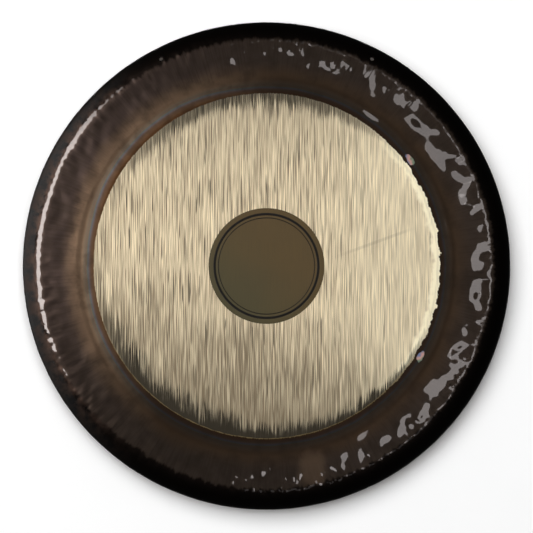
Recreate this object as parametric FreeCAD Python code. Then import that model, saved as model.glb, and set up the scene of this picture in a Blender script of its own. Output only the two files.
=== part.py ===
"""A large flat-faced orchestral gong of the tam tam kind: one disc of sheet metal with a turned rim.

Frame: millimetres, +Z up, the disc's axis along Y. The struck face looks along -Y and the open back
along +Y. The origin is on the axis, halfway through the depth. The two hanging holes are at the top.
"""
import FreeCAD
import Part
import math
import os

# The shell, one hammered sheet
DIAMETER = 812.0  # across the widest part of the rim
SHEET = 2.0  # thickness of the metal, the same everywhere
SHOULDER_WIDTH = 35.0  # radial width of the round bend between face and rim
RIM_STRAIGHT = 12.0  # flat part of the rim behind the bend
RIM_TOE_IN = 3.0  # degrees that the rim leans inwards towards the back

# The face, from the shoulder inwards
FIELD_WIDTH = 55.0  # sloping outer field between the groove and the shoulder
FIELD_SLOPE = 6.0  # degrees that the outer field falls back
GROOVE_FALL = 7.5  # steepest fall into the groove, degrees
GROOVE_RISE = -4.0  # steepest rise out of the groove, degrees
GROOVE_ENTRY_BEND = 200.0  # bend radius where the inner face rolls into the groove
GROOVE_EDGE_BEND = 24.0  # bend radius where the groove meets the outer field
GROOVE_FLOOR_BEND = 28.0  # bend radius at the bottom of the groove
DOME_SLOPE = 1.2  # degrees that the inner face falls back where it meets the groove

# The centre, which is flat and carries the lacquered disc with its printed border
CENTRE_DIAMETER = 192.0  # lacquered disc
CENTRE_MARGIN = 4.0  # flat metal left round that disc
LACQUER = 0.15  # thickness of the disc's coat
PRINT = 0.15  # thickness of the printed border lines
BORDER_INSET = 8.0  # from the disc's edge inwards to the broad line
BROAD_LINE = 4.0  # width of the broad border line
BORDER_GAP = 3.5  # bare lacquer between the two lines
FINE_LINE = 1.5  # width of the fine border line

# The hanging holes, drilled square to the sheet in the shoulder
HOLE_DIAMETER = 6.5
HOLE_INSET = 20.0  # from the rim's widest part inwards to the hole, along the radius
HOLE_ANGLE = 27.0  # degrees of each hole from the top, about the axis

PARTS_FOLDER = "parts"


class SheetProfile:
    """Half of the shell's section, drawn from the axis outwards as tangent lines and arcs.

    A point is (radius, depth), with depth counted back from the flat centre. A slope is in degrees:
    0 runs outwards along the face and 90 runs straight back along the rim.
    """

    def __init__(self):
        self.radius = 0.0
        self.depth = 0.0
        self.slope = 0.0
        self.spans = []
        self.marks = {}

    def mark(self, name):
        """Remembers the present radius, depth and slope under a name."""
        self.marks[name] = (self.radius, self.depth, self.slope)

    def _place(self, radius, depth, slope, inset):
        """The point that lies inset behind a point of the front surface."""
        turn = math.radians(slope)
        return (radius - inset * math.sin(turn), depth + inset * math.cos(turn))

    def _add(self, *stations):
        """Keeps one span, as its stations from start to end, and moves to the last of them."""
        self.spans.append(stations)
        self.radius, self.depth, self.slope = stations[-1]

    def line(self, length, cut_square=False):
        """A straight span at the present slope. One cut square ends in a plane across the axis."""
        turn = math.radians(self.slope)
        end_slope = 90.0 if cut_square else self.slope
        end = (self.radius + length * math.cos(turn), self.depth + length * math.sin(turn), end_slope)
        self._add((self.radius, self.depth, self.slope), end)

    def bend(self, bend_radius, slope):
        """An arc of that radius in the front surface, from the present slope to a new one."""
        side = 1.0 if slope > self.slope else -1.0
        centre_radius = self.radius - side * bend_radius * math.sin(math.radians(self.slope))
        centre_depth = self.depth + side * bend_radius * math.cos(math.radians(self.slope))

        def station(at):
            turn = math.radians(at)
            return (centre_radius + side * bend_radius * math.sin(turn),
                    centre_depth - side * bend_radius * math.cos(turn), at)

        self._add((self.radius, self.depth, self.slope), station((self.slope + slope) / 2), station(slope))

    def edges(self, inset, place):
        """The section's edges, inset behind the front surface. place makes a vector of (radius, depth)."""
        made = []
        for stations in self.spans:
            points = [place(*self._place(*station, inset)) for station in stations]
            made.append(Part.LineSegment(*points) if len(points) == 2 else Part.Arc(*points))
        return [curve.toShape() for curve in made]

    def end(self, inset):
        """The last point of the section, inset behind the front surface."""
        return self._place(self.radius, self.depth, self.slope, inset)


def groove_width():
    """Radial width of the groove, from its three bends."""
    into = math.sin(math.radians(GROOVE_FALL))
    out = math.sin(math.radians(GROOVE_RISE))
    inner_edge = GROOVE_ENTRY_BEND * (into - math.sin(math.radians(DOME_SLOPE)))
    outer_edge = GROOVE_EDGE_BEND * (math.sin(math.radians(FIELD_SLOPE)) - out)
    return inner_edge + GROOVE_FLOOR_BEND * (into - out) + outer_edge


OUTER_RADIUS = DIAMETER / 2
CENTRE_FLAT = CENTRE_DIAMETER / 2 + CENTRE_MARGIN
BORDER_DIAMETER = CENTRE_DIAMETER - 2 * BORDER_INSET
SHOULDER_START = OUTER_RADIUS - SHOULDER_WIDTH
SHOULDER_BEND = SHOULDER_WIDTH / (1 - math.sin(math.radians(FIELD_SLOPE)))
GROOVE_START = SHOULDER_START - FIELD_WIDTH - groove_width()
DOME_BEND = (GROOVE_START - CENTRE_FLAT) / math.sin(math.radians(DOME_SLOPE))


def shell_profile():
    """The section of the sheet: flat centre, shallow dome, groove, outer field, shoulder and rim."""
    profile = SheetProfile()
    profile.line(CENTRE_FLAT)
    profile.bend(DOME_BEND, DOME_SLOPE)
    profile.bend(GROOVE_ENTRY_BEND, GROOVE_FALL)
    profile.bend(GROOVE_FLOOR_BEND, GROOVE_RISE)
    profile.bend(GROOVE_EDGE_BEND, FIELD_SLOPE)
    profile.line(FIELD_WIDTH / math.cos(math.radians(FIELD_SLOPE)))
    profile.mark("shoulder")
    profile.bend(SHOULDER_BEND, 90 + RIM_TOE_IN)
    profile.line(RIM_STRAIGHT, cut_square=True)
    return profile


PROFILE = shell_profile()
FILMS = LACQUER + PRINT
OVERALL_DEPTH = FILMS + PROFILE.depth
FACE_Y = FILMS - OVERALL_DEPTH / 2  # the flat centre of the metal, with the films in front of it


def in_section(radius, depth):
    """A point of the section, in the plane of X and Y."""
    return FreeCAD.Vector(radius, FACE_Y + depth, 0)


def shoulder_station():
    """Where a hanging hole meets the front surface, as radius, depth and slope in degrees."""
    start_radius, start_depth, start_slope = PROFILE.marks["shoulder"]
    radius = OUTER_RADIUS - HOLE_INSET
    sine = math.sin(math.radians(start_slope)) + (radius - start_radius) / SHOULDER_BEND
    slope = math.degrees(math.asin(sine))
    depth = start_depth + SHOULDER_BEND * (math.cos(math.radians(start_slope)) - math.cos(math.radians(slope)))
    return radius, depth, slope


def around_axis(shape, degrees):
    """The shape turned about the gong's axis, so that +X goes to that many degrees above +X."""
    turned = shape.copy()
    turned.rotate(FreeCAD.Vector(0, 0, 0), FreeCAD.Vector(0, 1, 0), -degrees)
    return turned


def hole_frame():
    """Middle of a hole's wall and the way out of its front, for a hole that is still on +X."""
    radius, depth, slope = shoulder_station()
    turn = math.radians(slope)
    middle = in_section(radius - SHEET / 2 * math.sin(turn), depth + SHEET / 2 * math.cos(turn))
    outwards = FreeCAD.Vector(math.sin(turn), -math.cos(turn), 0)
    return middle, outwards


def hole_cutter():
    """A drill through the shoulder, for a hole that is still on +X."""
    middle, outwards = hole_frame()
    reach = 3 * SHEET
    return Part.makeCylinder(HOLE_DIAMETER / 2, 2 * reach, middle - outwards * reach, outwards)


def gong_shell():
    """The whole sheet: its section swept round the axis, less the two hanging holes."""
    front = PROFILE.edges(0, in_section)
    back = PROFILE.edges(SHEET, in_section)
    axis_edge = Part.makeLine(in_section(0, 0), in_section(0, SHEET))
    rim_edge = Part.makeLine(in_section(*PROFILE.end(0)), in_section(*PROFILE.end(SHEET)))
    outline = Part.Wire(Part.__sortEdges__(front + [rim_edge] + back + [axis_edge]))
    shell = Part.Face(outline).revolve(FreeCAD.Vector(0, 0, 0), FreeCAD.Vector(0, 1, 0), 360)
    for degrees in (90 + HOLE_ANGLE, 90 - HOLE_ANGLE):
        shell = shell.cut(around_axis(hole_cutter(), degrees))
    return shell


def disc(diameter, thickness, back_y):
    """A flat round film whose back lies at back_y."""
    centre = FreeCAD.Vector(0, back_y, 0)
    return Part.makeCylinder(diameter / 2, thickness, centre, FreeCAD.Vector(0, -1, 0))


def centre_lacquer():
    """The dark lacquered disc on the flat centre."""
    return disc(CENTRE_DIAMETER, LACQUER, FACE_Y)


def printed_line(outer_diameter, width):
    """A circular line of that width, printed on the lacquer."""
    back_y = FACE_Y - LACQUER
    return disc(outer_diameter, PRINT, back_y).cut(disc(outer_diameter - 2 * width, PRINT, back_y))


def border_broad_line():
    """The outer, broad line of the printed border."""
    return printed_line(BORDER_DIAMETER, BROAD_LINE)


def border_fine_line():
    """The fine line of the printed border, inside the broad one."""
    return printed_line(BORDER_DIAMETER - 2 * (BROAD_LINE + BORDER_GAP), FINE_LINE)


PIECES = {
    "gong_shell": gong_shell,
    "centre_lacquer": centre_lacquer,
    "border_broad_line": border_broad_line,
    "border_fine_line": border_fine_line,
}


def report_interfaces():
    """Prints the sizes that a record of this part needs."""
    middle, outwards = hole_frame()
    print(f"overall depth {OVERALL_DEPTH:.3f}, face at y {FACE_Y:.3f}, groove starts at {GROOVE_START:.2f}")
    print(f"shoulder bend {SHOULDER_BEND:.2f}, shoulder starts at", PROFILE.marks["shoulder"])
    for side, degrees in (("left", 90 + HOLE_ANGLE), ("right", 90 - HOLE_ANGLE)):
        turn = FreeCAD.Rotation(FreeCAD.Vector(0, 1, 0), -degrees)
        print(side, "hole at", turn.multVec(middle), "leaving along", turn.multVec(outwards))
    print("rim ends at", PROFILE.end(0), PROFILE.end(SHEET))


def main():
    """Builds every piece and writes one file for each."""
    os.makedirs(PARTS_FOLDER, exist_ok=True)
    for name, make in PIECES.items():
        shape = make()
        shape.exportStep(os.path.join(PARTS_FOLDER, name + ".step"))
        print(f"{name}: {len(shape.Solids)} solid, {shape.Volume / 1000:.2f} cm3, valid {shape.isValid()}")
    report_interfaces()


main()
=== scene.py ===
"""Looks of a large flat-faced tam tam gong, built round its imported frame.

Everything is in metres in the frame's own axes: the struck face looks along -Y, the open back along +Y,
and the two hanging holes are at the top. The sheet is one closed mesh whose front and back follow the same
hammered relief. A place on the sheet is given by its length, measured along the front surface from the
axis outwards, its angle about the axis, counted from +X towards +Z, and its inset behind the front.
"""
import logging
import math
from collections.abc import Iterable, Sequence, Set
from dataclasses import dataclass, field
from enum import Enum

import bpy
import numpy as np
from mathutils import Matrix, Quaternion, Vector

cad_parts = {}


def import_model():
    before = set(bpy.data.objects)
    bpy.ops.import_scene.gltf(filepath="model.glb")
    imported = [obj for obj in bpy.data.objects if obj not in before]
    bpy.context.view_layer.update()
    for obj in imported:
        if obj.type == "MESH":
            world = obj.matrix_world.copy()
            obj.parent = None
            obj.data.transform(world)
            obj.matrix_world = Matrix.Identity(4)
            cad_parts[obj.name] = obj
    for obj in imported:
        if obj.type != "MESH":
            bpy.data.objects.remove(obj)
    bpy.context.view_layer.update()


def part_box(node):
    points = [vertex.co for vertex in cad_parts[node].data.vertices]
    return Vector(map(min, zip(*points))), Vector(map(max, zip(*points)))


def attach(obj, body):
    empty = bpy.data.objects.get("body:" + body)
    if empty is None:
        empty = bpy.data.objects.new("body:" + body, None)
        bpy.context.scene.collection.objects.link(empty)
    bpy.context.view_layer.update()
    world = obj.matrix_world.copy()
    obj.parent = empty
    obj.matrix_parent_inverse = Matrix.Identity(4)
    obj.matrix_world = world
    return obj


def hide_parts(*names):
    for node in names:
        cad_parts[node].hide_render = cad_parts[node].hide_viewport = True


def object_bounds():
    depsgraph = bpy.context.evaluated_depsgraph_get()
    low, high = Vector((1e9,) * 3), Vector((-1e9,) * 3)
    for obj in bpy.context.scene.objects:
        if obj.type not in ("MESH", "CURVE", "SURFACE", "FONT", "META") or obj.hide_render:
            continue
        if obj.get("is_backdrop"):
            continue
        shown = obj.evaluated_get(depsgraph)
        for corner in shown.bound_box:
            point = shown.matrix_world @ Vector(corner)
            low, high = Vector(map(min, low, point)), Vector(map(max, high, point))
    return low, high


LOG = logging.getLogger("gong")
TURN = 2 * math.pi
Colour = tuple[float, float, float]
Place = tuple[float, float, float]
BLACK: Colour = (0.0, 0.0, 0.0)
WHITE: Colour = (1.0, 1.0, 1.0)
ROSY: Colour = (1.0, 0.93, 0.92)
PEACH: Colour = (1.0, 0.93, 0.90)


class Finish(Enum):
    """Which of the sheet's two finishes a face takes. The value is its place in the material list."""

    FRONT = 0
    BACK = 1


# ------------------------------------------------------------------------------------- shader maths


class Wire:
    """One value in a material, with arithmetic that adds Math nodes."""

    def __init__(self, sheet: "ShaderSheet", socket: bpy.types.NodeSocket) -> None:
        """Wraps an output socket of a node in the sheet."""
        self.sheet = sheet
        self.socket = socket

    def _math(self, operation: str, *values: "Wire | float") -> "Wire":
        """The result of a Math node on the values."""
        return self.sheet.node("ShaderNodeMath", {"operation": operation}, dict(enumerate(values)))

    def __add__(self, other: "Wire | float") -> "Wire":
        """This value plus another."""
        return self._math("ADD", self, other)

    __radd__ = __add__

    def __sub__(self, other: "Wire | float") -> "Wire":
        """This value less another."""
        return self._math("SUBTRACT", self, other)

    def __rsub__(self, other: float) -> "Wire":
        """A number less this value."""
        return self._math("SUBTRACT", other, self)

    def __mul__(self, other: "Wire | float") -> "Wire":
        """This value times another."""
        return self._math("MULTIPLY", self, other)

    __rmul__ = __mul__

    def __truediv__(self, other: "Wire | float") -> "Wire":
        """This value divided by another."""
        return self._math("DIVIDE", self, other)

    def __pow__(self, other: "Wire | float") -> "Wire":
        """This value to a power."""
        return self._math("POWER", self, other)

    def swing(self, width: float) -> "Wire":
        """This value of 0 to 1 as a swing to both sides of 0, as wide as that from end to end."""
        return (self - 0.5) * width

    def ramp(self, low: float, high: float, to_low: float = 0.0, to_high: float = 1.0) -> "Wire":
        """A smooth step from to_low at low to to_high at high."""
        settings = {"interpolation_type": "SMOOTHSTEP"}
        values = {"Value": self, "From Min": low, "From Max": high, "To Min": to_low, "To Max": to_high}
        return self.sheet.node("ShaderNodeMapRange", settings, values)

    def scaled(self, factors: Place) -> "Wire":
        """This vector with each of its parts multiplied."""
        return self.sheet.node("ShaderNodeVectorMath", {"operation": "MULTIPLY"}, {0: self, 1: factors})

    def moved(self, other: "Wire | Place") -> "Wire":
        """This vector plus another."""
        return self.sheet.node("ShaderNodeVectorMath", {"operation": "ADD"}, {0: self, 1: other})


class ShaderSheet:
    """The node tree of one material or world, written node by node."""

    def __init__(self, owner: bpy.types.Material | bpy.types.World, coordinates: str = "Object") -> None:
        """Empties the owner's tree and reads its coordinates."""
        self.owner = owner
        owner.use_nodes = True
        self.tree = owner.node_tree
        self.tree.nodes.clear()
        self.place = self.node("ShaderNodeTexCoord", output=coordinates)
        self.x, self.y, self.z = (self.node("ShaderNodeSeparateXYZ", values={0: self.place}, output=axis)
                                  for axis in "XYZ")
        self.radius = (self.x * self.x + self.z * self.z) ** 0.5

    def node(self, kind: str, settings: dict | None = None, values: dict | None = None,
             output: str | int = 0) -> "Wire | None":
        """Adds one node.

        Args:
            kind: the node's type.
            settings: its properties, set first. "stops" is a colour ramp's list of places and colours.
            values: what its inputs take, a Wire or a constant, by name, identifier or number.
            output: the output to hand back, by name, identifier or number.

        Returns:
            The wire that leaves that output, or nothing from a node that ends the tree.
        """
        made = self.tree.nodes.new(kind)
        for name, value in (settings or {}).items():
            if name == "stops":
                self._set_stops(made.color_ramp, value)
            else:
                setattr(made, name, value)
        for name, value in (values or {}).items():
            socket = self._find(made.inputs, name)
            if isinstance(value, Wire):
                self.tree.links.new(value.socket, socket)
            elif isinstance(value, tuple) and len(value) == 3 and socket.type == "RGBA":
                socket.default_value = (*value, 1.0)
            else:
                socket.default_value = value
        return Wire(self, self._find(made.outputs, output)) if made.outputs else None

    @staticmethod
    def _set_stops(ramp: bpy.types.ColorRamp, stops: Sequence[tuple[float, Colour]]) -> None:
        """Gives a colour ramp its stops."""
        while len(ramp.elements) < len(stops):
            ramp.elements.new(1.0)
        for element, (place, colour) in zip(ramp.elements, stops):
            element.position = place
            element.color = (*colour, 1.0)

    @staticmethod
    def _find(sockets: Iterable[bpy.types.NodeSocket], name: str | int) -> bpy.types.NodeSocket:
        """A socket by identifier, by name or by number."""
        if isinstance(name, int):
            return sockets[name]
        return next((s for s in sockets if s.identifier == name), None) or sockets[name]

    def noise(self, vector: Wire, detail: float = 2.0, roughness: float = 0.5) -> Wire:
        """Noise from 0 to 1 with features one unit across, on a vector that is already scaled."""
        values = {"Vector": vector, "Scale": 1.0, "Detail": detail, "Roughness": roughness}
        return self.node("ShaderNodeTexNoise", None, values, "Fac")

    def face_noise(self, across: float, up: float, detail: float = 2.0, roughness: float = 0.5,
                   start: tuple[float, float] = (0.0, 0.0)) -> Wire:
        """Noise over the face, the same all through the sheet.

        Args:
            across: how many features lie in a metre along X.
            up: how many features lie in a metre along Z.
            detail: how many finer layers there are.
            roughness: how strong the finer layers are.
            start: a shift along X and Z, so that two noises differ.

        Returns:
            The noise, from 0 to 1.
        """
        scaled = self.place.scaled((across, 0.0, up)).moved((start[0], 0.0, start[1]))
        return self.noise(scaled, detail, roughness)

    def solid_noise(self, scale: float, detail: float, roughness: float = 0.5) -> Wire:
        """Noise through the whole object, with that many features in a metre."""
        return self.noise(self.place.scaled((scale, scale, scale)), detail, roughness)

    def mix(self, share: Wire | float, low: Wire | Colour, high: Wire | Colour) -> Wire:
        """A colour between two. The share is held between 0 and 1."""
        values = {"Factor_Float": share, "A_Color": low, "B_Color": high}
        return self.node("ShaderNodeMix", {"data_type": "RGBA"}, values, "Result_Color")

    def bump(self, height: Wire, distance: float) -> Wire:
        """A normal that is tilted by a height of 0 to 1 times distance, in metres."""
        return self.node("ShaderNodeBump", None, {"Height": height, "Distance": distance, "Strength": 1.0})

    def principled(self, values: dict) -> bpy.types.Material:
        """Ends the material in one Principled shader with those inputs."""
        surface = self.node("ShaderNodeBsdfPrincipled", None, values)
        self.node("ShaderNodeOutputMaterial", None, {"Surface": surface})
        return self.owner


def new_sheet(name: str) -> ShaderSheet:
    """The empty shader sheet of a new material."""
    return ShaderSheet(bpy.data.materials.new(name))


# ----------------------------------------------------------------------------------------- finishes


@dataclass(frozen=True)
class StruckFace:
    """The front of the gong: a brushed bare field inside dark glossy oxide, with temper colours between."""

    field_radius: float = 0.2866
    outer_oxide: tuple[float, float] = (0.303, 0.345)
    groove_end: tuple[float, float] = (0.300, 0.318)
    rim_start: float = 0.3745
    # Place of a painted reflection of a warm lamp, low on the oxide.
    lamp_glint_place: tuple[float, float] = (0.076, -0.338)
    strokes: tuple[tuple[float, float, Place], ...] = (
        (640.0, 9.0, (0.0, 0.0, 0.0)), (1250.0, 16.0, (7.0, 0.0, 3.0)), (2300.0, 26.0, (3.0, 0.0, 9.0)))
    bare_dark: Colour = (0.36, 0.285, 0.185)
    bare_light: Colour = (1.0, 0.870, 0.595)
    scratch: Colour = (0.075, 0.060, 0.040)
    # Painted highlight on the bare field, over its right and along its right edge.
    bare_highlight: Colour = (1.0, 0.92, 0.66)
    # Colour that the bare field darkens to towards the bottom.
    bare_low: Colour = (0.20, 0.158, 0.098)
    golden_lip: Colour = (0.20, 0.145, 0.055)
    # Painted shade along the bare field's edge.
    edge_shade: Colour = (0.026, 0.021, 0.0115)
    warm_brown: Colour = (0.265, 0.178, 0.112)
    warm_outer: Colour = (0.056, 0.040, 0.034)
    cool_brown: Colour = (0.074, 0.046, 0.025)
    cool_outer: Colour = (0.053, 0.040, 0.031)
    groove_dark: Colour = (0.026, 0.019, 0.013)
    rim_black: Colour = (0.006, 0.004, 0.003)
    # Brown on the rim at the left: partly the oxide, partly painted light.
    rim_brown: Colour = (0.085, 0.055, 0.042)
    heat_rings: tuple[tuple[float, Colour], ...] = (
        (0.0, (0.150, 0.072, 0.030)), (0.10, (0.200, 0.110, 0.055)), (0.30, (0.180, 0.115, 0.076)),
        (0.42, (0.190, 0.150, 0.138)), (0.50, (0.165, 0.170, 0.190)), (0.57, (0.165, 0.175, 0.160)),
        (0.64, (0.190, 0.175, 0.115)), (0.71, (0.215, 0.140, 0.110)), (0.78, (0.190, 0.155, 0.110)))
    spot_radius: float = 0.2960
    spot_width: float = 0.0058
    spot_length: float = 0.0120
    spot_angles: tuple[float, ...] = (36.5, -30.5)
    spot_blue: Colour = (0.28, 0.40, 0.72)
    spot_rose: Colour = (0.95, 0.60, 0.50)
    spot_green: Colour = (0.30, 0.42, 0.30)

    def build(self) -> bpy.types.Material:
        """Writes the material."""
        s = new_sheet("struck_face")
        streak, fine = self._streaks(s)
        bare = self._bare_mask(s, streak)
        oxide, cloud, dull = self._oxide_colour(s)
        metal = self._bare_colour(s, streak, fine)
        hair = s.solid_noise(90.0, 4.0)
        grain = s.bump(streak * 0.6 + fine * 0.4, 0.00011)
        pits = s.bump(hair, 0.00005)
        normal = s.node("ShaderNodeMix", {"data_type": "VECTOR"},
                        {"Factor_Float": bare, "A_Vector": pits, "B_Vector": grain}, "Result_Vector")
        return s.principled({
            "Base Color": self._rainbow_spots(s, s.mix(bare, oxide, metal)),
            "Metallic": bare.ramp(0.0, 1.0, 0.94, 0.55),
            "Roughness": bare * (0.40 + 0.10 * fine) + (1 - bare) * (0.36 + 0.12 * cloud),
            "Coat Weight": (1 - bare) * (1 - dull),
            "Coat Roughness": 0.03,
            "Coat IOR": 1.6,
            "Normal": normal,
        })

    def _streaks(self, s: ShaderSheet) -> tuple[Wire, Wire]:
        """Vertical brush strokes, wide ones and hair-fine ones, each from 0 to 1."""
        sway = s.face_noise(6.0, 6.0, 1.0) * 0.004
        lean = s.node("ShaderNodeCombineXYZ", None, {"X": s.x + sway, "Z": s.z})
        wide, narrow, hair = (s.noise(lean.scaled((across, 0.0, along)).moved(start), detail=1.0)
                              for across, along, start in self.strokes)
        return (wide * 0.4 + narrow * 0.6).ramp(0.41, 0.59), (narrow * 0.4 + hair * 0.6).ramp(0.40, 0.60)

    def _bare_mask(self, s: ShaderSheet, streak: Wire) -> Wire:
        """1 where the oxide is brushed away, up to a ragged edge that is nibbled on the right."""
        nibble = s.face_noise(150.0, 150.0, 2.0)
        scallop = s.face_noise(62.0, 62.0, 1.0, start=(1.0, 8.0))
        on_right = s.x.ramp(0.16, 0.27)
        edge = s.radius + streak.swing(0.0010) + nibble.swing(0.0026)
        edge = edge + (scallop.swing(0.010) + nibble.swing(0.004) - 0.0010) * on_right
        return edge.ramp(self.field_radius - 0.0004, self.field_radius + 0.0004, 1.0, 0.0)

    def _bare_colour(self, s: ShaderSheet, streak: Wire, fine: Wire) -> Wire:
        """Pale gold strokes between dark scratches, darker towards the bottom, with painted light and shade:
        lighter to the right and at mid-height, a painted highlight along the right edge and painted shade
        along the rest of the edge.
        """
        strokes = s.mix(streak * 0.65 + fine * 0.35, self.bare_dark, self.bare_light)
        thin = s.face_noise(620.0, 13.0, 1.0, start=(5.0, 2.0))
        on_right = s.x.ramp(0.06, 0.22)
        # Dark scratches, fewer at the right so that the right reads lighter: partly the brushing, partly
        # painted light.
        strokes = s.mix(thin.ramp(0.565, 0.64) * (0.86 - 0.40 * on_right), strokes, self.scratch)
        # Painted light and shade: the bare field lighter to the right and at mid-height, darker above and
        # below, with a broad noise across it.
        broad = s.face_noise(90.0, 5.0, 2.0, start=(1.0, 6.0))
        height = s.z - 0.03
        level = 1.0 + s.x * 0.50 - height * height * 5.6 + broad.swing(0.36)
        strokes = s.mix(1 - level, strokes, BLACK)
        # Painted highlight over the right of the bare field.
        strokes = s.mix(on_right * 0.20, strokes, self.bare_highlight)
        strokes = s.mix(self._old_scratch(s) * 0.17, strokes, self.scratch)
        # Darker towards the bottom and lower left, most between the strokes.
        smudge = s.face_noise(13.0, 6.0, 3.0)
        below = (s.z * -1.0 - s.x * 0.35 + smudge.swing(0.16)).ramp(0.0, 0.26)
        darkening_below = below * (0.22 + 0.95 * (1 - streak) + 0.5 * (smudge - 0.5))
        darkened_below = s.mix(darkening_below.ramp(0.0, 1.0), strokes, self.bare_low)
        curl = s.face_noise(75.0, 48.0, 2.0, start=(9.0, 4.0))
        # Painted highlight in a band just inside the right edge, where the field rolls towards the light.
        right_edge_highlight = (s.radius + curl.swing(0.030)).ramp(self.field_radius - 0.015, self.field_radius - 0.006)
        edge_highlighted = s.mix(right_edge_highlight * s.x.ramp(0.17, 0.25), darkened_below, self.bare_highlight)
        # Painted shade along the edge of the bare field.
        edge_shaded = s.mix(self._edge_shade_share(s, streak, fine), edge_highlighted, self.edge_shade)
        lip = (s.radius + curl.swing(0.0030)).ramp(self.field_radius - 0.0016, self.field_radius - 0.0006)
        return s.mix(lip * s.z.ramp(-0.20, -0.05, 0.60, 0.0), edge_shaded, self.golden_lip)

    def _edge_shade_share(self, s: ShaderSheet, streak: Wire, fine: Wire) -> Wire:
        """How much painted shade lies along the bare field's edge: most below, much above, none at the
        right.
        """
        patchy = s.face_noise(30.0, 22.0, 3.0, start=(4.0, 1.0))
        across = s.x / s.radius
        upright = s.z / s.radius
        off_right = across.ramp(0.25, 0.92, 1.0, 0.0)
        upper = upright.ramp(0.30, 0.95) * off_right
        lower = upright.ramp(-0.90, -0.20, 1.0, 0.0)
        lower_left = (across + upright).ramp(-1.38, -0.95, 1.0, 0.0)
        width = 0.0045 + off_right * 0.0115 + upper * 0.0060 + lower * 0.0060 + lower_left * 0.0110
        feather = streak.swing(0.40) + fine.swing(0.45) + patchy.swing(1.5)
        depth = self.field_radius - s.radius
        band = (depth / width + feather).ramp(0.55, 1.20, 1.0, 0.0)
        cleared = depth.ramp(0.0, 0.0030, 0.40, 0.0) * (1 - lower) * (1 - upper)
        strength = 0.28 + upper * 0.54 + lower * 0.84 + lower_left * 0.26
        return (band * strength * (1 - cleared) * (0.72 + 0.40 * (1 - fine))).ramp(0.0, 1.0)

    def _oxide_colour(self, s: ShaderSheet) -> tuple[Wire, Wire, Wire]:
        """The oxide's colour: brown inside, violet-grey outside, black on the rim, warmest and lightest at
        the left, partly as painted light.

        Returns:
            The colour, a mottle from 0 to 1 that the roughness shares, and how far the gloss is lost.
        """
        cloud = s.face_noise(16.0, 16.0, 4.0, 0.55)
        blotch = s.face_noise(48.0, 48.0, 3.0, start=(2.0, 5.0))
        # Share of the warm colours, most at the left: partly the oxide's own colour, partly painted light
        # from the left.
        side = ((s.z * 0.34 - s.x * 0.94) / s.radius + cloud.swing(0.25)).ramp(0.22, 0.98)
        wander = s.radius + cloud.swing(0.020) + blotch.swing(0.008)
        outwards = wander.ramp(*self.outer_oxide)
        warm = s.mix(outwards, self.warm_brown, self.warm_outer)
        cool = s.mix(outwards, self.cool_brown, self.cool_outer)
        in_groove = wander.ramp(*self.groove_end, 1.0, 0.0)
        cool = s.mix(in_groove * 0.72, cool, self.groove_dark)
        base = self._temper_colours(s, s.mix(side, cool, warm), side, cloud)
        base = s.mix((blotch * 0.5 + cloud * 0.5).ramp(0.44, 0.64) * 0.42, base, self.groove_dark)
        ray = s.noise(self._rays(s, 130.0), detail=2.0)
        base = s.mix(ray.ramp(0.42, 0.66) * outwards * 0.30, base, self.groove_dark)
        finger = s.noise(self._rays(s, 46.0), detail=2.0)
        # Painted reflection of a warm lamp: a soft warm patch low on the oxide.
        glint_x = s.x - self.lamp_glint_place[0]
        glint_z = s.z - self.lamp_glint_place[1]
        glow = (glint_x * glint_x + glint_z * glint_z * 0.5 + blotch.swing(0.0006)).ramp(0.0, 0.0009, 1.0, 0.0)
        base = s.mix(glow * 0.30, base, self.warm_brown)
        upright = s.z / s.radius
        left = s.x.ramp(-0.36, -0.20, 1.0, 0.0)
        rim = s.radius + upright.ramp(-1.0, 0.0, 0.0070, 0.0) - left * 0.006 + finger.swing(0.018)
        rim = rim.ramp(self.rim_start, self.rim_start + 0.0065)
        # At the left the rim takes brown mottling: partly oxide, partly painted light.
        black = s.mix(left * blotch.ramp(0.35, 0.62), self.rim_black, self.rim_brown)
        aslant = (upright * upright).ramp(0.0, 0.5, 0.0, 0.0045)
        dulled = s.radius + aslant + finger.swing(0.036) + 0.0022
        rubbed = left * rim * blotch.ramp(0.40, 0.60) * 0.5
        dull = dulled.ramp(self.rim_start, self.rim_start + 0.0040) * (1 - left) * 0.90 + rubbed
        return s.mix(rim * 0.96, base, black), cloud, dull

    @staticmethod
    def _old_scratch(s: ShaderSheet) -> Wire:
        """A faint wide scratch over the brushed field, rising to the right, from 0 to 1."""
        along = s.x * 0.939 + s.z * 0.344
        across = s.z * 0.939 - s.x * 0.344 + 0.0252
        ends = along.ramp(0.10, 0.16) * along.ramp(0.22, 0.26, 1.0, 0.0)
        return (across * across).ramp(0.0, 0.000012, 1.0, 0.0) * ends

    def _rainbow_spots(self, s: ShaderSheet, base: Wire) -> Wire:
        """Two spots of pale rainbow colours on the right of the field's edge: partly the colours of a thin
        film of oxide, partly a painted reflection of the light.
        """
        smear = s.face_noise(110.0, 110.0, 1.0, start=(3.0, 7.0))
        outwards = (s.radius - self.spot_radius) / self.spot_width
        for degrees in self.spot_angles:
            turn = math.radians(degrees)
            along = (s.z * math.cos(turn) - s.x * math.sin(turn)) / self.spot_length
            spot = (outwards * outwards + along * along + smear.swing(2.0)).ramp(0.65, 1.0, 1.0, 0.0)
            band = outwards * 0.45 - along * 0.40 + smear.swing(1.2)
            colour = s.mix(band.ramp(-0.45, 0.0), self.spot_blue, self.spot_rose)
            colour = s.mix(band.ramp(0.05, 0.50), colour, self.spot_green)
            base = s.mix(spot * s.x.ramp(0.0, 0.05) * 0.85, base, colour)
        return base

    @staticmethod
    def _rays(s: ShaderSheet, count: float) -> Wire:
        """Coordinates for a noise that is drawn out along the radius."""
        return s.node("ShaderNodeCombineXYZ", None,
                      {"X": s.x / s.radius * count, "Y": s.radius * 18.0, "Z": s.z / s.radius * count})

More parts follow.
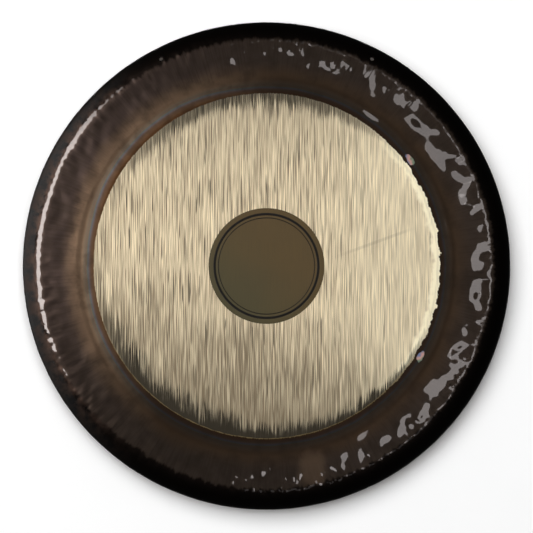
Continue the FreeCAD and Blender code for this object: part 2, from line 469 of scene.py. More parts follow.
    def _temper_colours(self, s: ShaderSheet, base: Wire, side: Wire, cloud: Wire) -> Wire:
        """Thin rings of heat colour just outside the bare field, darkened away from the left, partly as
        painted shade.
        """
        lobe = ((s.z * 0.72 - s.x * 0.69) / s.radius).ramp(0.80, 1.0)
        across = s.radius + 0.0030 + cloud.swing(0.0045) - lobe * 0.0050
        across = across.ramp(self.field_radius - 0.001, self.field_radius + 0.026)
        stops = [*self.heat_rings, (1.0, self.warm_brown)]
        rings = s.node("ShaderNodeValToRGB", {"stops": stops}, {"Fac": across}, "Color")
        # Painted shade, partly: the rings darken towards black away from the left.
        shaded = s.mix((1 - side) * 0.80, rings, self.rim_black)
        share = s.radius.ramp(self.field_radius + 0.018, self.field_radius + 0.028, 1.0, 0.0)
        return s.mix(share, base, shaded)


@dataclass(frozen=True)
class OpenBack:
    """The back of the gong and the inside of its rim: dull scaled oxide, rubbed bare along the cut edge."""

    scale_dark: Colour = (0.072, 0.056, 0.046)
    scale_brown: Colour = (0.27, 0.175, 0.105)
    worn: Colour = (0.62, 0.50, 0.33)
    edge_y: float = 0.0314

    def build(self) -> bpy.types.Material:
        """Writes the material."""
        s = new_sheet("open_back")
        cloud = s.solid_noise(11.0, 5.0, 0.6)
        speck = s.solid_noise(160.0, 3.0)
        round_axis = s.node("ShaderNodeCombineXYZ", None, {"X": s.radius * 90.0, "Y": cloud * 2.0})
        rings = s.noise(round_axis, detail=2.0)
        base = s.mix((cloud * 0.7 + rings * 0.3).ramp(0.38, 0.66), self.scale_dark, self.scale_brown)
        base = s.mix(speck.ramp(0.52, 0.72) * 0.5, base, self.scale_dark)
        patchy = (speck * 0.6 + cloud * 0.4).ramp(0.38, 0.52)
        rub = s.y.ramp(self.edge_y - 0.0012, self.edge_y - 0.0002) * patchy
        return s.principled({
            "Base Color": s.mix(rub, base, self.worn),
            "Metallic": rub.ramp(0.0, 1.0, 0.4, 1.0),
            "Roughness": 0.36 + 0.22 * speck,
            "Coat Weight": (1 - rub) * 0.35,
            "Coat Roughness": 0.12,
            "Normal": s.bump(speck, 0.00010),
        })


@dataclass(frozen=True)
class CentreLacquerFinish:
    """Olive-brown satin lacquer over the brushed centre."""

    brown: Colour = (0.064, 0.040, 0.0112)
    olive: Colour = (0.047, 0.039, 0.0138)
    stroke: Colour = (0.02, 0.016, 0.010)

    def build(self) -> bpy.types.Material:
        """Writes the material."""
        s = new_sheet("centre_lacquer")
        haze = s.face_noise(14.0, 14.0, 3.0)
        strokes = s.face_noise(900.0, 20.0, 1.0)
        dust = s.face_noise(700.0, 700.0, 2.0)
        lower_left = (s.x * -0.7 - s.z * 0.7 + haze.swing(0.06)).ramp(-0.05, 0.10)
        base = s.mix(lower_left, self.brown, self.olive)
        base = s.mix((strokes * 0.6 + haze * 0.4).ramp(0.35, 0.7) * 0.16, base, self.stroke)
        return s.principled({
            "Base Color": base,
            "Metallic": 0.0,
            "Roughness": 0.48 + 0.10 * dust,
            "Specular IOR Level": 0.35,
            "Normal": s.bump(strokes * 0.6 + dust * 0.4, 0.00002),
        })


@dataclass(frozen=True)
class PrintedInk:
    """Black screen-printed ink."""

    black: Colour = (0.0035, 0.0028, 0.0022)
    faded: Colour = (0.012, 0.009, 0.006)

    def build(self) -> bpy.types.Material:
        """Writes the material."""
        s = new_sheet("printed_ink")
        mesh_mark = s.face_noise(900.0, 900.0, 2.0)
        thin = s.face_noise(60.0, 60.0, 3.0)
        return s.principled({
            "Base Color": s.mix(thin.ramp(0.55, 0.8) * 0.4, self.black, self.faded),
            "Roughness": 0.42 + 0.14 * mesh_mark,
            "Specular IOR Level": 0.3,
            "Normal": s.bump(mesh_mark, 0.00002),
        })


# ------------------------------------------------------------------------------- shape of the sheet


class Section:
    """Half of the sheet's section, as straight runs and round bends from the axis outwards.

    Depth is counted back from the flat centre. A slope of 0 runs outwards along the face, and a quarter
    turn runs straight back along the rim.
    """

    def __init__(self) -> None:
        """Starts on the axis, running outwards."""
        self.starts: list[tuple[float, float, float, float, float]] = []
        self.length = 0.0
        self._radius = 0.0
        self._depth = 0.0
        self._slope = 0.0

    def _span(self, length: float, curvature: float) -> None:
        """Adds one span and moves to its end."""
        self.starts.append((self.length, self._radius, self._depth, self._slope, curvature))
        self.length += length
        self._radius, self._depth, self._slope = (float(v[0]) for v in self.at(np.array([self.length])))

    def run(self, length: float) -> None:
        """A straight run of that length."""
        self._span(length, 0.0)

    def bend(self, bend_radius: float, slope_degrees: float) -> None:
        """A round bend, from the present slope to a new one."""
        turn = math.radians(slope_degrees) - self._slope
        self._span(abs(turn) * bend_radius, math.copysign(1 / bend_radius, turn))

    def at(self, length: np.ndarray) -> tuple[np.ndarray, np.ndarray, np.ndarray]:
        """Follows the section.

        Args:
            length: distances from the axis along the front surface.

        Returns:
            Radius, depth and slope there.
        """
        table = np.array(self.starts)
        start, radius, depth, slope, curve = table[np.searchsorted(table[:, 0], length, side="right") - 1].T
        gone = length - start
        here = slope + curve * gone
        bent = np.abs(curve) > 0
        by = np.where(bent, curve, 1.0)
        out = np.where(bent, (np.sin(here) - np.sin(slope)) / by, gone * np.cos(slope))
        back = np.where(bent, (np.cos(slope) - np.cos(here)) / by, gone * np.sin(slope))
        return radius + out, depth + back, here


@dataclass(frozen=True)
class Blows:
    """One round of hammer blows at about the same radius."""

    length: float
    spacing: float
    reach_out: float
    reach_round: float
    depth: float
    stray: float
    raised: float


class Relief:
    """Hammered relief of the sheet, as heights in front of the smooth section."""

    step = 0.001
    columns = 2400

    def __init__(self, section: Section, seed: int) -> None:
        """Starts smooth."""
        self.rows = int(section.length / self.step) + 2
        self.radii = section.at(np.arange(self.rows) * self.step)[0]
        self.height = np.zeros((self.rows, self.columns))
        self.random = np.random.default_rng(seed)

    def strike(self, blows: Blows) -> None:
        """Hammers one round into the sheet."""
        radius = float(np.interp(blows.length, np.arange(self.rows) * self.step, self.radii))
        count = max(3, round(TURN * radius / blows.spacing))
        first = self.random.uniform(0, 1)
        for number in range(count):
            wander = self.random.normal(0, blows.stray, 2)
            angle = TURN * (number + first) / count + float(wander[0]) / radius
            size = self.random.uniform(0.75, 1.25)
            depth = blows.depth * self.random.uniform(0.35, 1.0)
            way = 1.0 if self.random.uniform() < blows.raised else -1.0
            self._dent(blows.length + float(wander[1]), angle, blows.reach_out * size,
                       blows.reach_round * size, way * depth)

    def _dent(self, length: float, angle: float, reach_out: float, reach_round: float,
              height: float) -> None:
        """Adds one smooth round-bottomed dent, or a bump where height is positive."""
        low = max(0, int((length - reach_out) / self.step))
        high = min(self.rows, int((length + reach_out) / self.step) + 2)
        rows = np.arange(low, high)
        radius = max(float(np.interp(length, np.arange(self.rows) * self.step, self.radii)), 0.02)
        half = min(int(reach_round / radius / TURN * self.columns) + 1, self.columns // 2 - 1)
        middle = angle / TURN * self.columns
        columns = np.arange(int(middle) - half, int(middle) + half + 2)
        out = ((rows * self.step - length) / reach_out)[:, None]
        across = ((columns - middle) / self.columns * TURN * radius / reach_round)[None, :]
        shape = np.clip(1 - out ** 2 - across ** 2, 0, None) ** 2
        self.height[rows[:, None], columns[None, :] % self.columns] += height * shape

    def swell(self, length: float, reach: float, height: float) -> None:
        """Adds one smooth ridge all the way round, or a hollow where height is negative."""
        out = (np.arange(self.rows) * self.step - length) / reach
        self.height += height * np.clip(1 - out[:, None] ** 2, 0, None) ** 2

    def at(self, length: np.ndarray, angle: np.ndarray) -> np.ndarray:
        """Height at places on the sheet, read between the grid's points."""
        row = np.clip(length / self.step, 0, self.rows - 1.001)
        column = np.mod(angle / TURN, 1.0) * self.columns
        r0 = row.astype(int)
        c0 = column.astype(int)
        fr = row - r0
        fc = column - c0
        c1 = (c0 + 1) % self.columns
        c0 = c0 % self.columns
        near = self.height[r0, c0] * (1 - fc) + self.height[r0, c1] * fc
        far = self.height[r0 + 1, c0] * (1 - fc) + self.height[r0 + 1, c1] * fc
        return near * (1 - fr) + far * fr


class SheetSurface:
    """The gong's surface: its section, swept round the axis and hammered."""

    def __init__(self, section: Section, relief: Relief, face_y: float) -> None:
        """Joins the shape and the relief. face_y is the flat centre's place along the axis."""
        self.section = section
        self.relief = relief
        self.face_y = face_y

    def points(self, length: np.ndarray, angle: np.ndarray, inset: np.ndarray) -> np.ndarray:
        """Places on the sheet as points. A negative inset stands in front of it."""
        radius, depth, slope = self.section.at(length)
        raised = self.relief.at(length, angle) - inset
        out = radius + raised * np.sin(slope)
        along = self.face_y + depth - raised * np.cos(slope)
        return np.stack([out * np.cos(angle), along, out * np.sin(angle)], axis=1)


class MeshWork:
    """Vertices given as places on the sheet, and the faces between loops of them.

    On the flat chart each side of the sheet is a disc, given as its middle across and up and its radius.
    """

    discs = {Finish.FRONT: (0.362, 0.638, 0.358), Finish.BACK: (0.860, 0.140, 0.136)}
    chart_margin = 0.002

    def __init__(self) -> None:
        """Starts empty."""
        self.places: list[np.ndarray] = []
        self.charts: list[np.ndarray] = []
        self.count = 0
        self.faces: list[tuple[int, ...]] = []
        self.finishes: list[int] = []

    def loop(self, length: np.ndarray, angle: np.ndarray, inset: np.ndarray | float,
             chart: np.ndarray | None = None) -> np.ndarray:
        """Adds a closed loop of vertices.

        Args:
            length: each vertex's length.
            angle: each vertex's angle.
            inset: each vertex's inset, or one for all.
            chart: length and angle on the front's flat chart, where they differ from the vertex's own.

        Returns:
            The vertices' numbers.
        """
        place = np.stack(np.broadcast_arrays(length, angle, inset), axis=1)
        if chart is None:
            chart = np.stack([place[:, 0] + place[:, 2], place[:, 1]], axis=1)
        self.places.append(place)
        self.charts.append(chart)
        numbers = np.arange(self.count, self.count + len(place))
        self.count += len(place)
        return numbers

    def ring(self, length: float, inset: float, count: int) -> np.ndarray:
        """Adds a loop right round the gong."""
        return self.loop(np.full(count, length), np.arange(count) * TURN / count, inset)

    def join(self, inner: np.ndarray, outer: np.ndarray, finish: Finish,
             taken: Set[int] = frozenset()) -> None:
        """Fills between two loops, the second of them as fine, twice as fine or half as fine.

        Args:
            inner: one loop.
            outer: the loop after it, outwards over the front, round the rim and inwards over the back.
            finish: the finish of the new faces.
            taken: the steps of the coarser loop that stay open.
        """
        for k in range(min(len(inner), len(outer))):
            if k in taken:
                continue
            if len(inner) == len(outer):
                n = (k + 1) % len(inner)
                new = [(inner[k], outer[k], outer[n], inner[n])]
            elif len(inner) < len(outer):
                a, b, c = outer[2 * k], outer[2 * k + 1], outer[(2 * k + 2) % len(outer)]
                n = (k + 1) % len(inner)
                new = [(inner[k], a, b), (inner[k], b, c, inner[n])]
            else:
                a, b, c = inner[2 * k], inner[2 * k + 1], inner[(2 * k + 2) % len(inner)]
                n = (k + 1) % len(outer)
                new = [(a, outer[k], b), (b, outer[k], outer[n], c)]
            self.faces.extend(tuple(int(v) for v in face) for face in new)
            self.finishes.extend([finish.value] * len(new))

    def cap(self, loop: np.ndarray, finish: Finish) -> None:
        """Closes a small loop with one flat face."""
        self.faces.append(tuple(int(v) for v in loop))
        self.finishes.append(finish.value)

    def chart(self, mesh: bpy.types.Mesh, length: float) -> None:
        """Lays the front out as a large disc and the back as a small one on a map of the mesh.

        Args:
            mesh: the mesh that this work made.
            length: the section's whole length, which both discs show.
        """
        corners = np.array([v for face in self.faces for v in face])
        sizes = [len(face) for face in self.faces]
        is_front = np.repeat(np.array(self.finishes) == Finish.FRONT.value, sizes)
        own = np.concatenate(self.places)[corners][:, :2]
        drawn = np.where(is_front[:, None], np.concatenate(self.charts)[corners], own)
        sides = zip(self.discs[Finish.FRONT], self.discs[Finish.BACK])
        middle_u, middle_v, reach = (np.where(is_front, front, back) for front, back in sides)
        out = drawn[:, 0] / (length + self.chart_margin) * reach
        layer = mesh.uv_layers.new(name="OFBake")
        angle = drawn[:, 1]
        flat = np.stack([middle_u + out * np.cos(angle), middle_v + out * np.sin(angle)], axis=1)
        layer.data.foreach_set("uv", flat.astype(np.float32).ravel())

    def build(self, name: str, surface: SheetSurface) -> bpy.types.Object:
        """Makes the mesh object, with its places turned into points."""
        places = np.concatenate(self.places)
        mesh = bpy.data.meshes.new(name)
        mesh.from_pydata(surface.points(*places.T).tolist(), [], self.faces)
        mesh.polygons.foreach_set("material_index", np.array(self.finishes, np.int32))
        mesh.polygons.foreach_set("use_smooth", np.ones(len(self.faces), bool))
        mesh.update()
        made = bpy.data.objects.new(name, mesh)
        bpy.context.scene.collection.objects.link(made)
        return made


# ----------------------------------------------------------------------------------------- the gong


@dataclass
class GongShell:
    """The one sheet of metal: flat centre, shallow dome, groove, outer field, shoulder and rim."""

    sheet: float = 0.0020
    centre_flat: float = 0.1000
    dome_slope: float = 1.2
    groove_fall: float = 7.5
    groove_rise: float = -4.0
    groove_entry_bend: float = 0.200
    groove_edge_bend: float = 0.024
    groove_floor_bend: float = 0.028
    field_width: float = 0.055
    field_slope: float = 6.0
    shoulder_width: float = 0.035
    rim_straight: float = 0.012
    rim_lean: float = 3.0
    edge_round: float = 0.0006
    hole_radius: float = 0.00325
    hole_inset: float = 0.020
    hole_angle: float = 27.0
    hole_burr: float = 0.0004
    front_segments: int = 1024
    back_segments: int = 512
    front_spacing: tuple[float, float, float] = (0.0080, 0.0031, 0.0028)
    back_spacing: tuple[float, float, float] = (0.0125, 0.0052, 0.0052)
    block_share: int = 256
    middle: float = 0.004
    fine_lead: float = 0.012
    shoulder_lead: float = 0.006
    swells: tuple[tuple[float, float, float], ...] = ((0.014, 0.018, 0.00012), (0.042, 0.020, -0.00014))
    seed: int = 11
    surface: SheetSurface = field(init=False)

    def __post_init__(self) -> None:
        """Takes the diameter and the place of the face from the frame, and hammers the sheet."""
        low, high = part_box("gong_shell")
        self.outer_radius = (high.z - low.z) / 2
        self.section = self._section()
        self.fine_length = self.groove_length - self.fine_lead
        self.hole_length = self._hole_place()
        self.hole_from_axis = self.outer_radius - self.hole_inset
        self.hole_angles = [math.radians(90 + self.hole_angle), math.radians(90 - self.hole_angle)]
        self.relief = Relief(self.section, self.seed)
        for blows in self._hammering():
            self.relief.strike(blows)
        for out, reach, height in self.swells:
            self.relief.swell(self.field_length + out, reach, height)
        self.surface = SheetSurface(self.section, self.relief, low.y)

    def _section(self) -> Section:
        """The section of the sheet, from the axis to the cut edge of the rim."""
        rise = math.sin(math.radians(self.groove_rise))
        fall = math.sin(math.radians(self.groove_fall))
        dome = math.sin(math.radians(self.dome_slope))
        tilt = math.sin(math.radians(self.field_slope))
        groove = (self.groove_entry_bend * (fall - dome) + self.groove_floor_bend * (fall - rise)
                  + self.groove_edge_bend * (tilt - rise))
        self.shoulder_start = self.outer_radius - self.shoulder_width
        self.groove_start = self.shoulder_start - self.field_width - groove
        self.shoulder_bend = self.shoulder_width / (1 - tilt)
        section = Section()
        section.run(self.centre_flat)
        section.bend((self.groove_start - self.centre_flat) / dome, self.dome_slope)
        self.groove_length = section.length
        section.bend(self.groove_entry_bend, self.groove_fall)
        section.bend(self.groove_floor_bend, self.groove_rise)
        section.bend(self.groove_edge_bend, self.field_slope)
        self.field_length = section.length
        section.run(self.field_width / math.cos(math.radians(self.field_slope)))
        self.shoulder_length = section.length
        section.bend(self.shoulder_bend, 90 + self.rim_lean)
        self.rim_length = section.length
        section.run(self.rim_straight)
        return section

    def _hammering(self) -> list[Blows]:
        """Every round of blows, from the plateau outwards."""
        inner = self.field_length
        shoulder = self.shoulder_length
        return [
            *(Blows(at, 0.060, 0.045, 0.045, 0.00009, 0.010, 0.5) for at in (0.135, 0.180, 0.225)),
            Blows(inner - 0.020, 0.055, 0.016, 0.024, 0.00024, 0.0050, 0.5),
            Blows(inner + 0.012, 0.052, 0.022, 0.030, 0.00072, 0.0070, 0.5),
            Blows(inner + 0.030, 0.030, 0.018, 0.018, 0.00062, 0.0070, 0.5),
            Blows(shoulder - 0.014, 0.0190, 0.015, 0.0110, 0.00050, 0.0040, 0.45),
            Blows(shoulder - 0.002, 0.0125, 0.015, 0.0065, 0.00050, 0.0025, 0.40),
            Blows(shoulder + 0.010, 0.0135, 0.012, 0.0065, 0.00046, 0.0025, 0.40),
            Blows(shoulder + 0.024, 0.0150, 0.012, 0.0080, 0.00016, 0.0020, 0.40),
            Blows(shoulder + 0.040, 0.0190, 0.013, 0.0120, 0.00014, 0.0025, 0.40),
            Blows(self.rim_length - 0.003, 0.0230, 0.014, 0.0140, 0.00016, 0.0030, 0.40),
        ]

    def _hole_place(self) -> float:
        """A hanging hole's length along the section."""
        tilt = math.radians(self.field_slope)
        from_shoulder = self.outer_radius - self.hole_inset - self.shoulder_start
        sine = math.sin(tilt) + from_shoulder / self.shoulder_bend
        return self.shoulder_length + (math.asin(sine) - tilt) * self.shoulder_bend

    def _lengths(self, spacing: Sequence[float]) -> list[float]:
        """Where the rings of one side lie, from the middle out to the rounding of the cut edge.

        Args:
            spacing: how far apart rings may be on the plateau, on the field and on the shoulder and rim.

        Returns:
            The lengths, with one of them at the hanging holes.
        """
        stops = [self.middle, self.fine_length, self.shoulder_length - self.shoulder_lead, self.hole_length,
                 self.rim_length, self.section.length - self.edge_round]
        lengths = [stops[0]]
        for low, high, step in zip(stops, stops[1:], (spacing[0], spacing[1], *[spacing[2]] * 3)):
            lengths += list(np.linspace(low, high, math.ceil((high - low) / step) + 1)[1:])
        return lengths

    def _segments(self, length: float, segments: int) -> int:
        """How many steps a ring takes: half as many each time that the radius halves."""
        full = self.fine_length - 1e-6
        while length < full and segments > 16:
            segments //= 2
            full /= 2
        return segments

    def _side(self, work: MeshWork, finish: Finish, lengths: Sequence[float], segments: int,
              inset: float) -> list[np.ndarray]:
        """Adds one side's rings in the order of its lengths, and fills between them round the holes."""
        rings = [work.ring(length, inset, self._segments(length, segments)) for length in lengths]
        blocks = [self._block(lengths, segments, angle) for angle in self.hole_angles]
        for row, (last, following) in enumerate(zip(rings, rings[1:])):
            taken = {k for rows, columns in blocks if rows[0] <= row < rows[1]
                     for k in range(columns[0], columns[1])}
            work.join(last, following, finish, taken)
        return rings

    def _block(self, lengths: Sequence[float], segments: int, angle: float) -> list[tuple[int, int]]:
        """The rows and the columns that a hanging hole takes out of a side's grid, each first to last."""
        half = segments // self.block_share
        row = int(np.argmin(np.abs(np.array(lengths) - self.hole_length)))
        column = round(angle / TURN * segments)
        return [(row - half, row + half), (column - half, column + half)]

    def _outline(self, lengths: Sequence[float], rings: Sequence[np.ndarray], segments: int,
                 angle: float) -> tuple[np.ndarray, np.ndarray]:
        """The vertices round a hole's block, and their places outwards and round from the hole's middle."""
        (low, high), (left, right) = self._block(lengths, segments, angle)
        if lengths[low] > lengths[high]:
            low, high = high, low
        rows = range(low, high, 1 if high > low else -1)
        back_rows = range(high, low, -1 if high > low else 1)
        walk = ([(low, c) for c in range(left, right)] + [(r, right) for r in rows]
                + [(high, c) for c in range(right, left, -1)] + [(r, left) for r in back_rows])
        numbers = np.array([rings[r][c % segments] for r, c in walk])
        out = np.array([lengths[r] for r, _ in walk]) - self.hole_length
        across = (np.array([c for _, c in walk]) * TURN / segments - angle) * self.hole_from_axis
        return numbers, np.stack([out, across], axis=1)

    @staticmethod
    def _circle(radius: float, count: int) -> np.ndarray:
        """Places round a hole, starting where the outline of its block starts."""
        turn = -0.375 * TURN - np.arange(count) * TURN / count
        return np.stack([np.cos(turn), np.sin(turn)], axis=1) * radius

    def _drill(self, work: MeshWork, angle: float, front: tuple, back: tuple) -> None:
        """Fills the two blocks of a hanging hole and lines the hole.

        Args:
            work: the mesh so far.
            angle: the hole's angle.
            front: the outline of its block in the front, as vertices and places.
            back: the same in the back.
        """
        def loop(places: np.ndarray, inset: float, charted: float = 1.0) -> np.ndarray:
            """Adds a loop of places round the hole, drawn smaller on the chart if it lies inside."""
            own, chart = (np.stack([self.hole_length + part[:, 0], angle + part[:, 1] / self.hole_from_axis],
                                   axis=1) for part in (places, places * charted))
            return work.loop(*own.T, inset, chart)

        mouth = self.hole_radius + self.hole_burr
        last, outline = front
        for share in (0.30, 0.58, 0.82, 1.0):
            following = loop(outline * (1 - share) + self._circle(mouth, len(outline)) * share, 0.0)
            work.join(last, following, Finish.FRONT)
            last = following
        outline = back[1]
        lining = ((self.hole_radius, self.hole_burr, len(last), 0.85),
                  (self.hole_radius, self.sheet - self.hole_burr, len(outline), 0.55),
                  (mouth, self.sheet, len(outline), 0.40))
        for radius, inset, count, charted in lining:
            following = loop(self._circle(radius, count), inset, charted)
            work.join(last, following, Finish.FRONT)
            last = following
        for share in (0.6, 0.3):
            following = loop(outline * (1 - share) + self._circle(mouth, len(outline)) * share, self.sheet)
            work.join(last, following, Finish.BACK)
            last = following
        work.join(last, back[0], Finish.BACK)

    def build(self) -> bpy.types.Object:
        """Makes the sheet as one closed mesh."""
        work = MeshWork()
        front_lengths = self._lengths(self.front_spacing)
        back_lengths = self._lengths(self.back_spacing)[::-1]
        front = self._side(work, Finish.FRONT, front_lengths, self.front_segments, 0.0)
        back = self._side(work, Finish.BACK, back_lengths, self.back_segments, self.sheet)
        work.cap(front[0], Finish.FRONT)
        work.cap(back[-1][::-1], Finish.BACK)
        self._cut_edge(work, front[-1], back[0])
        for angle in self.hole_angles:
            work_front = self._outline(front_lengths, front, self.front_segments, angle)
            work_back = self._outline(back_lengths, back, self.back_segments, angle)
            self._drill(work, angle, work_front, work_back)
        shell = work.build("hammered_shell", self.surface)
        work.chart(shell.data, self.section.length)
        return shell

    def _cut_edge(self, work: MeshWork, last: np.ndarray, back: np.ndarray) -> None:
        """Closes the rim's cut edge, with both its corners rounded."""
        end = self.section.length - self.edge_round
        for turn in (TURN / 12, TURN / 6, TURN / 4):
            out = self.edge_round * math.sin(turn)
            following = work.ring(end + out, self.edge_round * (1 - math.cos(turn)), len(last))
            work.join(last, following, Finish.FRONT)
            last = following
        for turn in (TURN / 4, TURN / 8):
            inset = self.sheet - self.edge_round * (1 - math.cos(turn))
            following = work.ring(end + self.edge_round * math.sin(turn), inset, len(back))
            work.join(last, following, Finish.FRONT)
            last = following
        work.join(last, back, Finish.BACK)


@dataclass
class Film:
    """A thin round coat or print that lies on the sheet and follows it."""

    name: str
    node: str
    slot: str
    inner_radius: float
    outer_radius: float
    base: float
    thickness: float
    segments: int
    sunk: float = 0.00004
    step: float = 0.006
    edge_share: float = 1.2

    def build(self, surface: SheetSurface) -> bpy.types.Object:
        """Makes the film as a closed mesh with rounded edges."""
        work = MeshWork()
        top = self.base + self.thickness
        soft = self.thickness * self.edge_share
        width = self.outer_radius - self.inner_radius
        steps = max(2, round(width / self.step))
        start = self.inner_radius + soft if self.inner_radius else width / steps
        lengths = list(np.linspace(start, self.outer_radius - soft, steps + 1))
        corner = [(soft * (1 - math.sin(turn)), top - self.thickness * (1 - math.cos(turn)))
                  for turn in (TURN / 12, TURN / 6, TURN / 4)]
        under = self.base - self.sunk
        path = [(length, top) for length in lengths]
        path += [(self.outer_radius - inwards, height) for inwards, height in corner]
        path += [(self.outer_radius, under)]
        path += [(length, under) for length in lengths[-2:0:-1]]
        if self.inner_radius:
            path += [(self.inner_radius, under)]
            path += [(self.inner_radius + outwards, height) for outwards, height in corner[::-1]]
        loops = [work.ring(length, -height, self.segments) for length, height in path]
        for last, following in zip(loops, loops[1:]):
            work.join(last, following, Finish.FRONT)
        if self.inner_radius:
            work.join(loops[-1], loops[0], Finish.FRONT)
        else:
            work.cap(loops[0], Finish.FRONT)
            work.cap(loops[-1][::-1], Finish.FRONT)
        return work.build(self.name, surface)


@dataclass
class Gong:
    """The whole gong: the sheet and the films on its centre."""

    lacquer_thickness: float = 0.00015
    print_thickness: float = 0.00015
    broad_line: float = 0.0040
    fine_line: float = 0.0015
    shell: GongShell = field(default_factory=GongShell)

    def films(self) -> list[tuple[Film, bpy.types.Material]]:
        """The lacquer and the two lines of its border, each as wide as its piece in the frame."""
        ink = PrintedInk().build()
        nodes = ("centre_lacquer", "border_broad_line", "border_fine_line")
        disc, broad, fine = (self._half_width(node) for node in nodes)
        on_lacquer = self.lacquer_thickness
        return [
            (Film("centre_lacquer_coat", "centre_lacquer", "centre_lacquer", 0.0, disc, 0.0,
                  self.lacquer_thickness, 256), CentreLacquerFinish().build()),
            (Film("printed_broad_line", "border_broad_line", "border_ink", broad - self.broad_line, broad,
                  on_lacquer, self.print_thickness, 256), ink),
            (Film("printed_fine_line", "border_fine_line", "border_ink", fine - self.fine_line, fine,
                  on_lacquer, self.print_thickness, 256), ink),
        ]

    @staticmethod
    def _half_width(node: str) -> float:
        """Half the width of a piece of the frame."""
        low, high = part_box(node)
        return (high.x - low.x) / 2

    def build(self) -> list[bpy.types.Object]:
        """Builds and dresses every piece."""
        shell = self.shell.build()
        for material in (StruckFace().build(), OpenBack().build()):
            shell.data.materials.append(material)
        pieces = [self._place(shell, "gong_shell", "gong_metal")]
        for film, material in self.films():
            piece = film.build(self.shell.surface)
            piece.data.materials.append(material)
            pieces.append(self._place(piece, film.node, film.slot))
        return pieces

    @staticmethod
    def _place(piece: bpy.types.Object, node: str, slot: str) -> bpy.types.Object:
        """Puts a piece on its body, in its node's stead."""
        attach(piece, "root")
        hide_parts(node)
        return piece


# --------------------------------------------------------------------------------------- the studio


@dataclass(frozen=True)
class Softbox:
    """One rectangular light of even brightness."""

    name: str
    place: Place
    aim: Place
    width: float
    height: float
    brightness: float
    tint: Colour = WHITE
    in_gloss: bool = True
    in_matt: bool = True
    roll: float = 0.0

    def build(self) -> bpy.types.Object:
        """Hangs the light."""
        lamp = bpy.data.lights.new(self.name, "AREA")
        lamp.shape = "RECTANGLE"
        lamp.size = self.width
        lamp.size_y = self.height
        lamp.energy = self.brightness * math.pi * self.width * self.height
        lamp.color = self.tint
        made = bpy.data.objects.new(self.name, lamp)
        made.location = self.place
        facing = (Vector(self.aim) - Vector(self.place)).to_track_quat("-Z", "Y")
        made.rotation_euler = (facing @ Quaternion((0.0, 0.0, 1.0), math.radians(self.roll))).to_euler()
        made.visible_camera = False
        made.visible_glossy = self.in_gloss
        made.visible_diffuse = self.in_matt
        bpy.context.scene.collection.objects.link(made)
        return made


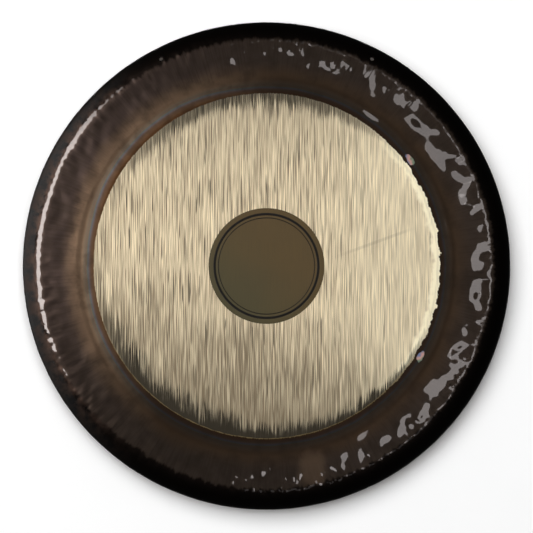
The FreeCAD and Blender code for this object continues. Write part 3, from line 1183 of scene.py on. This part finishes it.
@dataclass
class Studio:
    """A white wall close behind the gong, a pale floor below it, soft lights and the camera."""

    wall_gap: float = 0.019
    wall_half: float = 30.0
    floor_drop: float = 0.20
    eye_distance: float = 9.0
    lens: float = 365.6
    eye_drop: float = 0.0008
    wall_paint: Colour = (0.93, 0.93, 0.93)
    floor_paint: Colour = (0.40, 0.40, 0.40)
    floor_glow: float = 0.62
    fill: float = 0.27
    dark_gloss: float = 0.02
    lights: tuple[Softbox, ...] = (
        Softbox("right_softbox", (1.26, -2.6, 0.0), (0.34, 0.0, 0.0), 0.33, 0.92, 3.0, ROSY,
                in_matt=False),
        Softbox("upper_softbox", (0.96, -2.6, 0.82), (0.26, 0.0, 0.22), 0.33, 0.92, 2.6, ROSY,
                in_matt=False, roll=40.0),
        Softbox("lower_softbox", (0.96, -2.6, -0.82), (0.26, 0.0, -0.22), 0.35, 0.86, 3.0, ROSY,
                in_matt=False, roll=-40.0),
        Softbox("top_strip", (0.30, -2.6, 1.46), (0.0, 0.0, 0.34), 0.34, 0.50, 3.0, ROSY,
                in_matt=False),
        Softbox("low_strip", (0.22, -2.6, -1.46), (0.0, 0.0, -0.34), 0.34, 0.50, 4.0, ROSY,
                in_matt=False),
        Softbox("left_strip", (-1.50, -1.50, 0.50), (-0.38, 0.0, 0.50), 0.62, 2.0, 9.0, PEACH,
                in_matt=False),
        Softbox("key_bank", (-1.30, -6.0, 2.05), (-1.30, 0.0, 2.05), 5.4, 5.2, 5.75, in_gloss=False),
        Softbox("back_fill", (0.9, 3.0, 1.1), (0.0, 0.0, 0.0), 1.4, 1.4, 8.0, in_gloss=False),
    )

    def build(self) -> None:
        """Sets everything up."""
        self._view_settings()
        self._world()
        low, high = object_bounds()
        wall = self._plane("studio_wall", (0.0, high.y + self.wall_gap, 0.0), (TURN / 4, 0.0, 0.0))
        self._paint(wall, self.wall_paint, 0.0)
        floor = self._plane("studio_floor", (0.0, 0.0, low.z - self.floor_drop), (0.0, 0.0, 0.0))
        self._paint(floor, self.floor_paint, self.floor_glow)
        for light in self.lights:
            light.build()
        self._camera()

    @staticmethod
    def _view_settings() -> None:
        """Shows colours as they are."""
        view = bpy.context.scene.view_settings
        view.view_transform = "Standard"
        view.look = "None"
        view.exposure = 0.0
        view.gamma = 1.0

    def _world(self) -> None:
        """A dark room in every reflection, pale to the eye and in the fill light."""
        world = bpy.data.worlds.new("studio_room")
        bpy.context.scene.world = world
        s = ShaderSheet(world, "Generated")
        seen = s.node("ShaderNodeLightPath", output="Is Camera Ray")
        in_gloss = s.node("ShaderNodeLightPath", output="Is Glossy Ray")
        left = s.x.ramp(-0.45, -0.85) * s.y.ramp(-0.60, -0.40) * s.z.ramp(-0.70, 0.10, 0.15, 1.0)
        gloss = self.dark_gloss + left * s.y.ramp(-0.30, 0.80, 0.60, 0.28)
        level = (1 - in_gloss) * self.fill + in_gloss * gloss
        back = s.node("ShaderNodeBackground", None, {"Strength": seen + (1 - seen) * level})
        s.node("ShaderNodeOutputWorld", None, {"Surface": back})

    def _plane(self, name: str, place: Place, turn: Place) -> bpy.types.Object:
        """One large flat surface of the studio."""
        half = self.wall_half
        mesh = bpy.data.meshes.new(name)
        mesh.from_pydata([(-half, -half, 0), (half, -half, 0), (half, half, 0), (-half, half, 0)], [],
                         [(0, 1, 2, 3)])
        made = bpy.data.objects.new(name, mesh)
        made.location = place
        made.rotation_euler = turn
        made.visible_glossy = False
        made.visible_diffuse = False
        made.visible_shadow = False
        bpy.context.scene.collection.objects.link(made)
        made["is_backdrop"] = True
        return made

    @staticmethod
    def _paint(plane: bpy.types.Object, colour: Colour, glow: float) -> None:
        """Matt paint on one side of a surface of the studio, clear from the other.

        Args:
            plane: the surface.
            colour: the paint.
            glow: light that the paint gives off, so that far stretches stay pale.
        """
        s = new_sheet(plane.name)
        grain = s.solid_noise(9.0, 3.0)
        matt = s.node("ShaderNodeBsdfDiffuse", None, {"Color": s.mix(grain * 0.02, colour, BLACK)})
        lit = s.node("ShaderNodeEmission", None, {"Strength": glow})
        paint = s.node("ShaderNodeAddShader", None, {0: matt, 1: lit})
        behind = s.node("ShaderNodeNewGeometry", output="Backfacing")
        clear = s.node("ShaderNodeBsdfTransparent")
        both = s.node("ShaderNodeMixShader", None, {0: behind, 1: paint, 2: clear})
        s.node("ShaderNodeOutputMaterial", None, {"Surface": both})
        plane.data.materials.append(s.owner)

    def _camera(self) -> None:
        """The eye, square on to the gong's face."""
        camera = bpy.data.cameras.new("front_eye")
        camera.lens = self.lens
        camera.sensor_width = 36.0
        made = bpy.data.objects.new("front_eye", camera)
        made.location = (0.0, -self.eye_distance, -self.eye_drop)
        made.rotation_euler = (TURN / 4, 0.0, 0.0)
        bpy.context.scene.collection.objects.link(made)
        bpy.context.scene.camera = made


def main() -> None:
    """Builds the gong round its frame, then the studio."""
    logging.basicConfig(level=logging.INFO, format="%(message)s")
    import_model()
    for piece in Gong().build():
        triangles = sum(len(face.vertices) - 2 for face in piece.data.polygons)
        LOG.info("%s: %d vertices, %d triangles", piece.name, len(piece.data.vertices), triangles)
    Studio().build()


if __name__ == "__main__":
    main()
